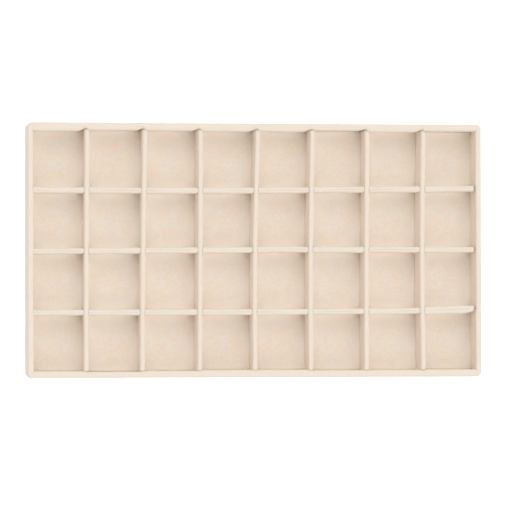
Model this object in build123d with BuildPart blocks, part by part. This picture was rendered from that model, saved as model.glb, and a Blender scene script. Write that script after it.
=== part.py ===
from build123d import *

import os

# A flat display tray with a grid of open compartments: card boards wrapped in a short pile cloth.
# Millimetres. +X runs along the length, +Y towards the back, +Z up.
# The origin is the middle of the underside, on the surface that the tray lies on.

# Outside of the finished tray
tray_length = 355.6
tray_width = 197.0
tray_height = 25.4

# Compartments
columns = 8
rows = 4

# Thickness of the sheet goods
cloth = 0.8
base_board_thickness = 1.8
wall_board_thickness = 2.4
floor_card_thickness = 0.8
backing_thickness = 0.4
long_core_thickness = 2.4
cross_core_thickness = 1.8

# Plan rounding of the tray's corners, the bend of the cloth over a board's square edge, and the
# rounding of a divider's upper corners where it meets a wall
corner_radius = 3.6
fold_radius = 1.4
fold_limit_share = 0.45
divider_end_radius = 2.6

# Turned-under hem of the wall cloth and the backing sheet that hides its raw edge
hem_width = 14.0
backing_inset = 6.0
backing_clearance = 0.3
backing_corner_radius = 2.0
backing_crease_angle = 45.0

# The covered floor card drops in between the lined walls
floor_clearance = 0.2

# Dividers stand on the floor, lower than the rim, and lap halfway at each crossing
divider_drop = 1.2
lap_share = 0.5
lap_clearance = 0.1
slot_mouth_radius = 0.8

# Cutters run past what they cut by this much
overrun = 5.0

# Heights of the layers, from the underside up
hem_bottom = backing_thickness
base_bottom = hem_bottom + cloth
base_top = base_bottom + base_board_thickness
card_top = base_top + floor_card_thickness
floor_top = card_top + cloth
divider_top = tray_height - divider_drop

# The walls and the space between them
wall_thickness = wall_board_thickness + 2 * cloth
cavity_length = tray_length - 2 * wall_thickness
cavity_width = tray_width - 2 * wall_thickness
board_gap_length = cavity_length + 2 * cloth
board_gap_width = cavity_width + 2 * cloth
wall_fold = min(fold_radius, fold_limit_share * wall_thickness)

# The grid: all compartments are alike, and a divider's thickness includes its cloth
long_thickness = long_core_thickness + 2 * cloth
cross_thickness = cross_core_thickness + 2 * cloth
cell_length = (cavity_length - (columns - 1) * cross_thickness) / columns
cell_width = (cavity_width - (rows - 1) * long_thickness) / rows
cross_pitch = cell_length + cross_thickness
long_pitch = cell_width + long_thickness
cross_places = [(i + 1 - columns / 2) * cross_pitch for i in range(columns - 1)]
long_places = [(i + 1 - rows / 2) * long_pitch for i in range(rows - 1)]
lap_height = floor_top + lap_share * (divider_top - floor_top)

os.makedirs("parts", exist_ok=True)


def save(part, name):
    """Labels a finished piece and writes it as one file."""
    part.label = name
    export_step(part, f"parts/{name}.step")


def cavity_profile(width):
    """Section across the cavity: upright sides that round outwards over the rim."""
    height = tray_height - base_top
    with BuildSketch() as profile:
        with Locations((0, base_top + height / 2)):
            Rectangle(width, height)
        with Locations((0, tray_height - wall_fold + overrun / 2)):
            Rectangle(width + 2 * wall_fold, overrun)
        rim_centre = width / 2 + wall_fold
        with Locations(
            (-rim_centre, tray_height - wall_fold), (rim_centre, tray_height - wall_fold)
        ):
            Circle(wall_fold, mode=Mode.SUBTRACT)
    return profile.sketch


def side_profile(length, top, end_radius):
    """Side of a divider that stands on the floor along X, with its upper corners rounded."""
    height = top - floor_top
    with BuildSketch() as side:
        with Locations((0, floor_top + height / 2)):
            Rectangle(length, height)
        fillet(side.vertices().group_by(Axis.Y)[-1], end_radius)
    return side.sketch


def divider_core(length, thickness):
    """The square-edged card inside a divider, short of its ends and top by the cloth."""
    with BuildPart() as core:
        with BuildSketch(Plane.XZ):
            add(
                side_profile(length - 2 * cloth, divider_top - cloth, divider_end_radius - cloth)
            )
        extrude(amount=thickness / 2, both=True)
    return core.part


def divider_outside(length, thickness):
    """The outside of a wrapped divider: what its rounded side and its bull-nosed section share."""
    bend = min(fold_radius, fold_limit_share * thickness)
    with BuildPart() as outside:
        with BuildSketch(Plane.XZ):
            add(side_profile(length, divider_top, divider_end_radius))
        extrude(amount=thickness / 2 + overrun, both=True)
        with BuildSketch(Plane.YZ):
            add(side_profile(thickness, divider_top, bend))
        extrude(amount=length / 2 + overrun, both=True, mode=Mode.INTERSECT)
    return outside.part


def top_slots(places, slot_width, length, thickness):
    """Slots open at the top, with rounded mouths, for the dividers that cross a strip along X."""
    with BuildPart() as slots:
        with BuildSketch(Plane.XZ) as profile:
            with Locations((0, divider_top + overrun / 2)):
                Rectangle(length + 2 * overrun, overrun)
            depth = divider_top + overrun - lap_height
            with Locations(*[(x, lap_height + depth / 2) for x in places]):
                Rectangle(slot_width, depth)
            mouths = profile.vertices().group_by(Axis.Y)[1].sort_by(Axis.X)[1:-1]
            fillet(mouths, slot_mouth_radius)
        extrude(amount=thickness / 2 + overrun, both=True)
    return slots.part


def bottom_slots(places, slot_width, thickness):
    """Square slots open at the bottom, for the dividers that a strip along X is set down over."""
    depth = lap_height + lap_clearance - floor_top + overrun
    with BuildPart() as slots:
        with BuildSketch(Plane.XZ):
            with Locations(*[(x, floor_top - overrun + depth / 2) for x in places]):
                Rectangle(slot_width, depth)
        extrude(amount=thickness / 2 + overrun, both=True)
    return slots.part


# The boards of the base and walls, as one block with the cavity in it
with BuildPart() as board_block:
    with BuildSketch(Plane.XY.offset(base_bottom)):
        RectangleRounded(tray_length - 2 * cloth, tray_width - 2 * cloth, corner_radius - cloth)
    extrude(amount=tray_height - cloth - base_bottom)
    with BuildSketch(Plane.XY.offset(base_top)):
        Rectangle(board_gap_length, board_gap_width)
    extrude(amount=tray_height - base_top, mode=Mode.SUBTRACT)

# Base board: the flat card under everything, with the outline of the walls
with BuildPart() as base_board:
    add(board_block.part)
    split(bisect_by=Plane.XY.offset(base_top), keep=Keep.BOTTOM)
save(base_board.part, "base_board")

# Wall boards: front and back run the full length, and the ends stand between them
with BuildPart() as standing_walls:
    add(board_block.part)
    split(bisect_by=Plane.XY.offset(base_top), keep=Keep.TOP)

for side_name, facing in (("front", -1), ("back", 1)):
    with BuildPart() as wall_board:
        add(standing_walls.part)
        with BuildSketch(Plane.XY.offset(base_top)):
            with Locations((0, facing * (board_gap_width / 2 + overrun / 2))):
                Rectangle(tray_length, overrun)
        extrude(amount=tray_height - base_top, mode=Mode.INTERSECT)
    save(wall_board.part, f"wall_board_{side_name}")

for side_name, facing in (("left", -1), ("right", 1)):
    with BuildPart() as wall_board:
        add(standing_walls.part)
        with BuildSketch(Plane.XY.offset(base_top)):
            with Locations((facing * tray_length / 2, 0)):
                Rectangle(tray_length / 2, board_gap_width)
        extrude(amount=tray_height - base_top, mode=Mode.INTERSECT)
    save(wall_board.part, f"wall_board_{side_name}")

# Wall covers: one strip of cloth a side, glued up the inside, over the rim, down the outside and
# under the base as a hem; neighbours meet in a mitre at each corner
with BuildPart() as cavity:
    with BuildSketch(Plane.XZ):
        add(cavity_profile(cavity_length))
    extrude(amount=tray_width / 2, both=True)
    with BuildSketch(Plane.YZ):
        add(cavity_profile(cavity_width))
    extrude(amount=tray_length / 2, both=True, mode=Mode.INTERSECT)

with BuildPart() as cloth_ring:
    with BuildSketch(Plane.XY.offset(hem_bottom)):
        RectangleRounded(tray_length, tray_width, corner_radius)
    extrude(amount=tray_height - hem_bottom)
    fillet(cloth_ring.faces().sort_by(Axis.Z)[-1].edges(), wall_fold)
    fillet(cloth_ring.faces().sort_by(Axis.Z)[0].edges(), wall_fold)
    add(cavity.part, mode=Mode.SUBTRACT)
    add(board_block.part, mode=Mode.SUBTRACT)
    with BuildSketch(Plane.XY.offset(hem_bottom)):
        Rectangle(tray_length - 2 * hem_width, tray_width - 2 * hem_width)
    extrude(amount=cloth, mode=Mode.SUBTRACT)

corner_x = tray_length / 2 + overrun
corner_y = tray_width / 2 + overrun
mitre_x = corner_x - corner_y
mitre_outlines = {
    "front": [(-corner_x, -corner_y), (corner_x, -corner_y), (mitre_x, 0), (-mitre_x, 0)],
    "back": [(-corner_x, corner_y), (corner_x, corner_y), (mitre_x, 0), (-mitre_x, 0)],
    "left": [(-corner_x, -corner_y), (-corner_x, corner_y), (-mitre_x, 0)],
    "right": [(corner_x, -corner_y), (corner_x, corner_y), (mitre_x, 0)],
}
for side_name, outline in mitre_outlines.items():
    with BuildPart() as wall_cover:
        add(cloth_ring.part)
        with BuildSketch():
            with BuildLine():
                Polyline(*outline, close=True)
            make_face()
        extrude(amount=tray_height, mode=Mode.INTERSECT)
    save(wall_cover.part, f"wall_cover_{side_name}")

# Floor card, and the cloth drawn over it and down its edges
covered_floor_length = cavity_length - 2 * floor_clearance
covered_floor_width = cavity_width - 2 * floor_clearance
with BuildPart() as floor_card:
    with BuildSketch(Plane.XY.offset(base_top)):
        Rectangle(covered_floor_length - 2 * cloth, covered_floor_width - 2 * cloth)
    extrude(amount=floor_card_thickness)
save(floor_card.part, "floor_card")

with BuildPart() as floor_lining:
    with BuildSketch(Plane.XY.offset(base_top)):
        Rectangle(covered_floor_length, covered_floor_width)
    extrude(amount=floor_top - base_top)
    add(floor_card.part, mode=Mode.SUBTRACT)
save(floor_lining.part, "floor_lining")

# Backing sheet: pasted over the hem all round, and pressed up against the base inside it
panel_length = tray_length - 2 * (hem_width + backing_clearance)
panel_width = tray_width - 2 * (hem_width + backing_clearance)
with BuildPart() as backing_sheet:
    with BuildSketch():
        RectangleRounded(
            tray_length - 2 * backing_inset, tray_width - 2 * backing_inset, backing_corner_radius
        )
    extrude(amount=backing_thickness)
    with BuildSketch(Plane.XY.offset(backing_thickness)):
        Rectangle(panel_length, panel_width)
    extrude(amount=cloth, taper=backing_crease_angle)
    with BuildSketch():
        Rectangle(panel_length - 2 * backing_thickness, panel_width - 2 * backing_thickness)
    extrude(amount=cloth, taper=backing_crease_angle, mode=Mode.SUBTRACT)
save(backing_sheet.part, "backing_sheet")

# Long dividers: three strips along the length, each a card core in a folded cloth cover, slotted
# from the top
long_slots = top_slots(
    cross_places, cross_thickness + 2 * lap_clearance, cavity_length, long_thickness
)
for number, y in enumerate(long_places, start=1):
    with BuildPart() as long_core:
        add(divider_core(cavity_length, long_core_thickness))
        add(long_slots, mode=Mode.SUBTRACT)
    with BuildPart() as long_cover:
        add(divider_outside(cavity_length, long_thickness))
        add(long_slots, mode=Mode.SUBTRACT)
        add(long_core.part, mode=Mode.SUBTRACT)
    save(Pos(0, y, 0) * long_core.part, f"long_divider_core_{number}")
    save(Pos(0, y, 0) * long_cover.part, f"long_divider_cover_{number}")

# Cross dividers: strips from front to back, set down over the long ones, slotted from the bottom
cross_slots = bottom_slots(long_places, long_thickness + 2 * lap_clearance, cross_thickness)
for number, x in enumerate(cross_places, start=1):
    with BuildPart() as cross_core:
        add(divider_core(cavity_width, cross_core_thickness))
        add(cross_slots, mode=Mode.SUBTRACT)
    with BuildPart() as cross_cover:
        add(divider_outside(cavity_width, cross_thickness))
        add(cross_slots, mode=Mode.SUBTRACT)
        add(cross_core.part, mode=Mode.SUBTRACT)
    turned = Pos(x, 0, 0) * Rot(0, 0, 90)
    save(turned * cross_core.part, f"cross_divider_core_{number}")
    save(turned * cross_cover.part, f"cross_divider_cover_{number}")
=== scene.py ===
# %% [markdown]
# # A display tray with thirty-two compartments
#
# The real tray is a shallow box of grey card, wrapped in cloth with a short brushed pile. Strips of
# card, folded into the same cloth, stand in it from side to side. They lap over each other halfway
# where they cross, and so they divide the tray into four rows of eight small compartments.
#
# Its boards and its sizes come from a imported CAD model, which is loaded here as a fixed frame. A CAD
# solid can't bulge, pucker or lean as cloth does, so every piece of cloth, and the card strips that
# lean with it, are made again in the cells below, each in the place that the frame gives it.

import math

import bmesh
import bpy
import numpy as np
from mathutils import Matrix, Vector


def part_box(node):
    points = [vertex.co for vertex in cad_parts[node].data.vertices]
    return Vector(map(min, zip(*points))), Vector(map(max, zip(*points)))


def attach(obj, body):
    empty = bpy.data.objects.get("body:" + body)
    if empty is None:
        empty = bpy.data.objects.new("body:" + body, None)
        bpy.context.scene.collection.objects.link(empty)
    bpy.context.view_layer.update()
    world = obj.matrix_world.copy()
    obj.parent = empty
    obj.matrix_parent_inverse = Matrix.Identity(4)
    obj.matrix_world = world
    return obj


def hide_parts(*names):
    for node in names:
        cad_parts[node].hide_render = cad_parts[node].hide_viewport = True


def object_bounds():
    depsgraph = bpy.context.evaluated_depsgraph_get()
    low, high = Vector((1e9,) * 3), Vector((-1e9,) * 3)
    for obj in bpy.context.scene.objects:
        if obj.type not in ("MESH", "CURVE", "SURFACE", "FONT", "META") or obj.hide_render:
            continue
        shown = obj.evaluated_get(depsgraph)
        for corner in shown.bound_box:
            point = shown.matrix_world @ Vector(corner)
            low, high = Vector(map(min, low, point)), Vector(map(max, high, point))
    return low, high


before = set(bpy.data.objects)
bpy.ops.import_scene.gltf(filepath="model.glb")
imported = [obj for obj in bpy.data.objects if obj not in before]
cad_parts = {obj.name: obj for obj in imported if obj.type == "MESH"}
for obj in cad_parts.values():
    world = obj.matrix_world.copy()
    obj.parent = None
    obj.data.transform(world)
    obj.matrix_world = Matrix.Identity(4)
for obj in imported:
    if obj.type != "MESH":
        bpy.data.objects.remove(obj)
cad_low, cad_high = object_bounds()
print("pieces in the frame:", len(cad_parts))

# %% [markdown]
# ## Sizes
#
# Everything is in metres, as the frame is. The sizes that matter are read from the frame's own
# pieces rather than typed in again, so a change in the CAD model carries through to the cloth. The
# origin is the middle of the underside, X runs along the length, Y to the back and Z up.

# %% Read the sizes from the frame
mm = 0.001


def node_box(node):
    """Lowest and highest corner of one piece of the frame, each as an array of x, y and z."""
    low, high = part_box(node)
    return np.array(low), np.array(high)


columns = 8
rows = 4
long_numbers = range(1, rows)
cross_numbers = range(1, columns)
long_boxes = np.array([node_box(f"long_divider_cover_{i}") for i in long_numbers])
cross_boxes = np.array([node_box(f"cross_divider_cover_{i}") for i in cross_numbers])

half_length = cad_high.x
half_width = cad_high.y
rim_height = cad_high.z
inner_length = long_boxes[0, 1, 0]
inner_width = cross_boxes[0, 1, 1]
wall = half_length - inner_length

long_places = long_boxes[:, :, 1].mean(axis=1)
cross_places = cross_boxes[:, :, 0].mean(axis=1)
long_half = long_boxes[0, 1, 1] - long_places[0]
cross_half = cross_boxes[0, 1, 0] - cross_places[0]

floor_top = node_box("floor_lining")[1][2]
base_top = node_box("base_board")[1][2]
base_bottom = node_box("base_board")[0][2]
hem_bottom = node_box("wall_cover_front")[0][2]
divider_top = cross_boxes[0, 1, 2]
lap_height = (floor_top + divider_top) / 2
print("wall", round(wall / mm, 2), "mm, cross dividers at", np.round(cross_places / mm, 1))

# %% [markdown]
# ## A surface from a grid of points
#
# Cloth is a sheet, and a sheet is easiest to describe by two numbers: how far along it and how far
# across it a point lies. Each piece below is therefore worked out as a grid of points, all at once
# in arrays. This helper turns such a grid into a mesh. Points that fall on each other, as at a
# closed end, are merged, so that no slit is left there.

# %% Helpers: a grid becomes a mesh, and a mesh gets a thickness
def smooth_step(value):
    """Rises from 0 to 1 in a soft S: three times the square less twice the cube."""
    t = np.clip(value, 0.0, 1.0)
    return t * t * (3.0 - 2.0 * t)


def surface(name, points, keep=None, painted_light_and_shade=None):
    """Joins a grid of points (rows, columns, 3) into four-sided faces.

    Each face takes a point, the next one up its column, the one diagonally on and the next one
    along its row. Its outward side is row direction times column direction. keep may leave
    faces out. The last argument, a number of painted light and shade for each point, stays on the
    mesh for the finish to read."""
    row_count, column_count = points.shape[:2]
    number = np.arange(row_count * column_count).reshape(row_count, column_count)
    corners = np.stack(
        [number[:-1, :-1], number[1:, :-1], number[1:, 1:], number[:-1, 1:]], axis=-1
    )
    if keep is not None:
        corners = corners[keep]
    used, faces = np.unique(corners.reshape(-1, 4), return_inverse=True)
    mesh = bpy.data.meshes.new(name)
    mesh.from_pydata(points.reshape(-1, 3)[used], [], faces.reshape(-1, 4))
    if painted_light_and_shade is not None:
        layer = mesh.attributes.new("painted_light_and_shade", "FLOAT", "POINT")
        layer.data.foreach_set("value", painted_light_and_shade.reshape(-1)[used].astype(np.float32))
    merged = bmesh.new()
    merged.from_mesh(mesh)
    bmesh.ops.remove_doubles(merged, verts=merged.verts, dist=0.002 * mm)
    merged.to_mesh(mesh)
    merged.free()
    mesh.shade_smooth()
    piece = bpy.data.objects.new(name, mesh)
    bpy.context.scene.collection.objects.link(piece)
    return piece


def thicken(piece, thickness, offset=-1.0):
    """Gives a sheet its thickness, behind its outward side, or half each side at offset 0."""
    layer = piece.modifiers.new("thickness", "SOLIDIFY")
    layer.thickness = thickness
    layer.offset = offset
    return piece


print("helpers ready")

# %% [markdown]
# ## How the dividers stand
#
# The dividers are pushed in by hand, so none of them stands quite straight: some bow, some lean,
# and the front one is pulled back at its right end. Moving the finished pieces one by one would
# tear the crossings apart. Instead there is one soft shift for the whole inside of the tray. Along
# a divider it follows a parabola through three given values, and along a long one also a weak
# bulge. Between neighbours it is blended in a straight line, and at the walls it is nothing.

# %% The soft shift of the inside
# For each cross divider from the left: its shift to the right at the front, in the middle and at
# the back, and how far its foot stays behind its top, in millimetres
cross_stance = np.array(
    [
        [-0.7, -0.5, 0.0, -0.5],
        [-1.0, -0.4, 0.9, -0.4],
        [-0.1, 0.3, 0.6, 0.5],
        [-1.1, -0.8, 1.0, -0.1],
        [-1.1, -0.9, 0.2, 0.1],
        [-1.0, -0.8, -0.3, 0.2],
        [-0.1, -0.6, 0.2, 0.8],
    ]
)
# For each long divider from the front: its shift to the back at the left end, in the middle and
# at the right end, in millimetres
long_stance = np.array(
    [
        [0.2, 0.45, 1.2],
        [-0.7, 0.4, 0.8],
        [-1.9, -1.7, 0.1],
    ]
)
# How far from the middle the outer two of these three shifts hold, and past how many times that
# the shift stays what it is there
cross_stance_place, cross_stance_limit = 72 * mm, 1.2
long_stance_place, long_stance_limit = 154 * mm, 1.1
# For each long divider: where along it a weak bulge to the back is, and how far it goes, both in
# millimetres
long_bulges = np.array([[66, 0.15], [22, 0.4], [66, 0.45]])
bulge_reach = 22 * mm
# How far the front divider is pulled back at its right end, and where along it that starts
front_end_lift = 1.3 * mm
front_lift_start = 80 * mm


def bow(values, along, limit):
    """Parabola through the first three columns of values, at -1, 0 and 1 of the way along. Past
    the limit on either side it keeps the value it has there."""
    first, middle, last = values[:, :3].T
    q = np.clip(along, -limit, limit)[..., None]
    return middle + (last - first) / 2 * q + ((first + last) / 2 - middle) * q * q


def shares(place, dividers, wall_place):
    """How much of each divider's shift a place takes: 1 at the divider, falling in a straight
    line to 0 at its neighbours or at the wall."""
    knots = np.concatenate([[-wall_place], dividers, [wall_place]])
    index = np.interp(place, knots, np.arange(len(knots)))
    return np.clip(1 - np.abs(index[..., None] - np.arange(1, len(knots) - 1)), 0, 1)


def stand_by_hand(points):
    """Shifts points sideways as the dividers stand. The shift to the right is the cross
    dividers' bow less their foot's lag. The shift to the back is the long dividers' bow, a bell
    for the bulge and, at the front divider's right end, the square of the way to the wall."""
    x, y, z = points[..., 0], points[..., 1], points[..., 2]
    below_top = 1 - np.clip((z - floor_top) / (divider_top - floor_top), 0, 1)
    across = bow(cross_stance, y / cross_stance_place, cross_stance_limit)
    across = across - cross_stance[:, 3] * below_top[..., None]
    back = bow(long_stance, x / long_stance_place, long_stance_limit) * mm
    bulge_place, bulge = long_bulges.T * mm
    back = back + bulge * np.exp(-(((x[..., None] - bulge_place) / bulge_reach) ** 2))
    lift = np.clip((x - front_lift_start) / (inner_length - front_lift_start), 0, 1)
    back[..., 0] += front_end_lift * lift * lift
    moved = points.copy()
    moved[..., 0] += (across * shares(x, cross_places, inner_length)).sum(axis=-1) * mm
    moved[..., 1] += (back * shares(y, long_places, inner_width)).sum(axis=-1)
    return moved


def ripples(points, length, seed):
    """Soft unevenness between about -1 and 1: twelve plane waves, each 0.7 to 1.5 times this
    long and in a direction of its own, added up and divided by five."""
    draw = np.random.default_rng(seed)
    waves = 12
    direction = draw.normal(size=(3, waves))
    direction /= np.linalg.norm(direction, axis=0)
    pitch = 2 * np.pi / (length * draw.uniform(0.7, 1.5, waves))
    start = draw.uniform(0, 2 * np.pi, waves)
    return np.cos(points @ (direction * pitch) + start).sum(axis=-1) / 5


middle_top = np.array([[cross_places[3], 0.0, divider_top]])
print("the middle crossing moves by", np.round((stand_by_hand(middle_top) - middle_top) / mm, 2))

# %% [markdown]
# ## The wall covers
#
# One strip of cloth a side is glued up the inside of the wall, drawn over the rim, brought down
# the outside and turned under the base as a hem. At the corners two strips meet in a mitre, with
# a fine crease along it. Inside, the lining stands off the card a little in every compartment and
# is pinched back where a divider's end presses on it.
#
# The strip is a section carried along the wall. The section is the path of the cloth round the
# board, and near a corner each of its points follows its own small arc until it reaches the mitre,
# so the outside is round in plan while the inside stays sharp.

# %% Helpers for the wall covers
bend = 1.4 * mm
corner_radius = 3.6 * mm
hem_width = 14 * mm
# How much of each end of a strip goes round its corner, and over how much of that the linings of
# two walls join
end_zone = 20 * mm
corner_zone = 6 * mm
# The fine crease along a mitre
crease_depth = 0.20 * mm
crease_width = 0.55 * mm


def wall_section():
    """Path of the cloth round the wall, in two columns: distance in from the outer face, and
    height. Straight runs are joined by quarter circles of the bend's radius."""
    turn = np.linspace(0, np.pi / 2, 9)
    above_floor = floor_top + np.array([-0.4, 0.0, 0.4, 0.9]) * mm
    climbing = np.linspace(floor_top + 2 * mm, rim_height - bend, 13)
    upright = np.concatenate([[base_top], above_floor, climbing])
    runs = [
        (np.full(len(upright), wall), upright),
        (wall - bend + bend * np.cos(turn), rim_height - bend + bend * np.sin(turn)),
        (bend - bend * np.sin(turn), rim_height - bend + bend * np.cos(turn)),
        (np.zeros(12), np.linspace(rim_height - bend, hem_bottom + bend, 12)),
        (bend - bend * np.cos(turn), hem_bottom + bend - bend * np.sin(turn)),
        (np.linspace(bend, hem_width, 9), np.full(9, hem_bottom)),
    ]
    path = np.concatenate([np.stack(run, axis=1) for run in runs])
    kept = np.ones(len(path), bool)
    kept[1:] = np.linalg.norm(np.diff(path, axis=0), axis=1) > 0.01 * mm
    return path[kept]


def follow_corner(inward, half, share):
    """Carries each point of the section to the mitre. share runs from -2 to 2. Up to 1 either
    way it is the middle of the strip, and from there on the corner: a straight run, then an
    eighth of a circle whose radius shrinks evenly from the outer face to the inner one. Gives
    the place along the wall, the distance in from its face, and the distance left to the
    mitre."""
    radius = corner_radius * np.clip(1 - inward / wall, 0, 1)
    straight = end_zone - inward - radius
    whole = straight + radius * np.pi / 4
    gone = np.clip(np.abs(share) - 1, 0, 1) * whole
    angle = np.clip(gone - straight, 0, None) / np.maximum(radius, 1e-9)
    angle = np.where(gone > straight, angle, 0)
    middle = np.clip(np.abs(share), 0, 1) * (half - end_zone)
    along = middle + np.minimum(gone, straight) + radius * np.sin(angle)
    moved_in = inward + radius * (1 - np.cos(angle))
    left = np.where(np.abs(share) > 1, whole - gone, end_zone)
    return along * np.sign(share), moved_in, left


def outward(points):
    """Direction out of a grid surface at each point: row direction times column direction."""
    direction = np.cross(np.gradient(points, axis=0), np.gradient(points, axis=1))
    return direction / np.maximum(np.linalg.norm(direction, axis=-1, keepdims=True), 1e-12)


def quarter_turns(points, count):
    """Turns points about the upright axis by this many quarter turns."""
    x, y, z = points[..., 0], points[..., 1], points[..., 2]
    for _ in range(count):
        x, y = -y, x
    return np.stack([x, y, z], axis=-1)


print("points in the wall's section:", len(wall_section()))

# %% [markdown]
# The lining's bulge is a function of the place along the wall alone: flat over most of a
# compartment and falling off in a soft S in the last few millimetres before a divider. It grows
# with the height, because the floor holds the lining's foot. On the right wall the foot stands
# off too, as a soft roll on the floor. On the back wall the cloth lies in a wide fold to the left
# of each divider, and the fold is darkened as painted shade. Over a corner the bulge carries on,
# and each strip is shortened by its neighbour's bulge, so the two still meet edge to edge.

# %% How the linings stand off
# For each side, on the way round the tray: how far the lining stands off in each compartment at the
# top and at the foot, in millimetres
stand_offs = {
    "front": ([1.2, 0.7, 1.3, 1.8, 1.8, 1.4, 1.4, 1.7], 0.0),
    "right": ([0.7, 0.5, 0.5, 0.7], 0.9),
    "back": ([1.2, 2.0, 1.1, 2.1, 2.2, 1.9, 1.8, 2.5], 0.0),
    "left": ([0.5, 0.9, 0.7, 1.0], 0.0),
}
# For each side: how far a divider's end pinches it in, the share of half a compartment over which
# the bulge falls off, at its far end and at its near end, the share of the bulge that is left over
# a divider's end, above the divider's top, how far past the divider's middle the pinch lies, and how
# dark the painted shade in the fold past it is
pinches = {
    "front": (0.10 * mm, 0.16, 0.16, 0.75, 0.0, 0.0),
    "right": (0.05 * mm, 0.15, 0.15, 0.8, 0.0, 0.0),
    "back": (0.05 * mm, 0.05, 0.31, 0.2, 0.3 * mm, 1.0),
    "left": (0.05 * mm, 0.12, 0.12, 0.7, 0.0, 0.0),
}
sides = list(stand_offs)
# The share of the lining's height over which the bulge grows
growing_share = 0.6
# How far below a divider's top the lining comes out again over its end, and over how much height
over_end_start, over_end_rise = 0.9 * mm, 1.1 * mm
# How far below the floor's top the roll at the foot starts, and over how much height it grows
foot_start, foot_rise = 0.2 * mm, 0.6 * mm


def compartment_share(place, borders):
    """Place within a compartment, from -1 at its left or front border to 1 at the other, and
    which compartment it is, counted from 0."""
    index = np.clip(np.searchsorted(borders, place) - 1, 0, len(borders) - 2)
    left, right = borders[index], borders[index + 1]
    return np.clip(2 * (place - left) / (right - left) - 1, -1, 1), index


def divider_ends(turns):
    """Where the dividers meet a wall, as places along it, with the wall's corners at both ends."""
    if turns % 2 == 0:
        side, reach = (-1 if turns == 0 else 1), inner_length
        ends = [cross_places, 0 * cross_places + side * inner_width, 0 * cross_places + divider_top]
        places = -side * stand_by_hand(np.stack(ends, axis=1))[:, 0]
    else:
        side, reach = (1 if turns == 1 else -1), inner_width
        ends = [0 * long_places + side * inner_length, long_places, 0 * long_places + divider_top]
        places = side * stand_by_hand(np.stack(ends, axis=1))[:, 1]
    return np.concatenate([[-reach], np.sort(places), [reach]])


def lining_bulge(side, turns, along, left, height):
    """How far the lining stands off the card, how far its neighbour's bulge shortens it, and
    how much painted shade its fold gets. The bulge is a soft step away from the dividers times a soft
    step up the wall, less the pinch; the foot's roll is a short step that fades to the rim."""
    pinch, far_fall, near_fall, kept, past, painted_shade_strength = pinches[side]
    at_top, at_foot = stand_offs[side]
    borders = divider_ends(turns)
    borders[1:-1] += past
    cell, index = compartment_share(along, borders)
    fall = np.where(cell > 0, far_fall, near_fall)
    between = np.maximum(smooth_step((1 - np.abs(cell)) / fall), left < end_zone)
    climb = smooth_step((height - floor_top) / (growing_share * (rim_height - floor_top)))
    above = smooth_step((height - divider_top + over_end_start) / over_end_rise)
    swell = np.array(at_top)[index] * mm * (between * climb + kept * (1 - between) * above)
    swell = swell - pinch * (1 - between) * climb
    at_corner = smooth_step(1 - left / corner_zone)
    up = np.clip((height - floor_top) / (rim_height - bend - floor_top), 0, 1)
    foot = smooth_step((height - floor_top + foot_start) / foot_rise) * (1 - up)
    foot = foot * at_foot * mm * (1 - at_corner)
    next_side, last_side = sides[(turns + 1) % 4], sides[turns - 1]
    beyond = np.where(along > 0, stand_offs[next_side][0][0], stand_offs[last_side][0][-1]) * mm
    # The third value is painted shade, darkening the fold to the left of each divider
    return swell + foot, beyond * at_corner * climb, painted_shade_strength * (1 - between) * (cell < 0)


print("dividers meet the back wall at", np.round(divider_ends(2)[1:-1] / mm, 1), "mm along it")

# %% [markdown]
# With the bulge known, a cover takes four moves: the section is carried along the wall, the lining
# is pushed in, the small waves of glued cloth are added, and the crease is pressed into the mitre.
# The front strip is made like this in its own place, and the others are turned to theirs.

# %% Wall covers
cloth_depth = 0.55 * mm
cover_spacing = 1.3 * mm
# Rows of points in a corner, and how much they crowd together towards the mitre
corner_rows, corner_crowding = 24, 1.7
# Where the lining starts, and where the inner bend is, as shares of the wall from outside
lining_start, inner_bend = 0.45, 0.85
# The waves of glued cloth: how high and how long, first the broad ones and then the fine ones
broad_wave, broad_length = 0.09 * mm, 22 * mm
fine_wave, fine_length = 0.05 * mm, 5 * mm


def wall_cover(side, turns, half_along, half_across, seed):
    """One strip of cloth: the wall's section carried along the wall, mitred at both ends. The
    waves lift it outwards, and the crease is a bell across the mitre, deepest over the lining's
    bend."""
    section = wall_section()
    middle_count = round(2 * (half_along - end_zone) / cover_spacing)
    corner = 2 - (1 - np.linspace(0, 1, corner_rows + 1)[1:]) ** corner_crowding
    share = np.concatenate([-corner[::-1], np.linspace(-1, 1, middle_count), corner])
    inward = section[:, :1] + 0 * share
    height = section[:, 1:] + 0 * share
    along, moved_in, left = follow_corner(inward, half_along, share[None, :])
    inside = smooth_step((inward / wall - lining_start) / (1 - lining_start)) * (height > base_top)
    bulge, shortened, painted_shade_and_flattening = lining_bulge(side, turns, along, left, height)
    along = along - np.sign(along) * shortened * inside
    points = np.stack([along, moved_in + bulge * inside - half_across, height], axis=-1)
    soft = broad_wave * ripples(points, broad_length, seed)
    soft = soft + fine_wave * ripples(points, fine_length, seed + 1)
    over_bend = 0.5 + np.exp(-(((inward - inner_bend * wall) / mm) ** 2))
    crease = crease_depth * np.exp(-((left / crease_width) ** 2)) * over_bend * (inside < 0.98)
    held = smooth_step(left / (3 * mm)) * smooth_step((height - hem_bottom) / mm)
    points = points + outward(points) * (soft * held - crease)[..., None]
    # The fold's painted shade goes on the mesh as a number below zero
    return surface(f"cover_{side}", quarter_turns(points, turns), painted_light_and_shade=-painted_shade_and_flattening * inside)


covers = {}
for turns, side in enumerate(sides):
    half_along, half_across = half_length, half_width
    if turns % 2:
        half_along, half_across = half_width, half_length
    cover = wall_cover(side, turns, half_along, half_across, 11 + turns)
    covers[side] = thicken(cover, cloth_depth)
    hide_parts(f"wall_cover_{side}")
print("faces in the front wall cover:", len(covers["front"].data.polygons))

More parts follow.
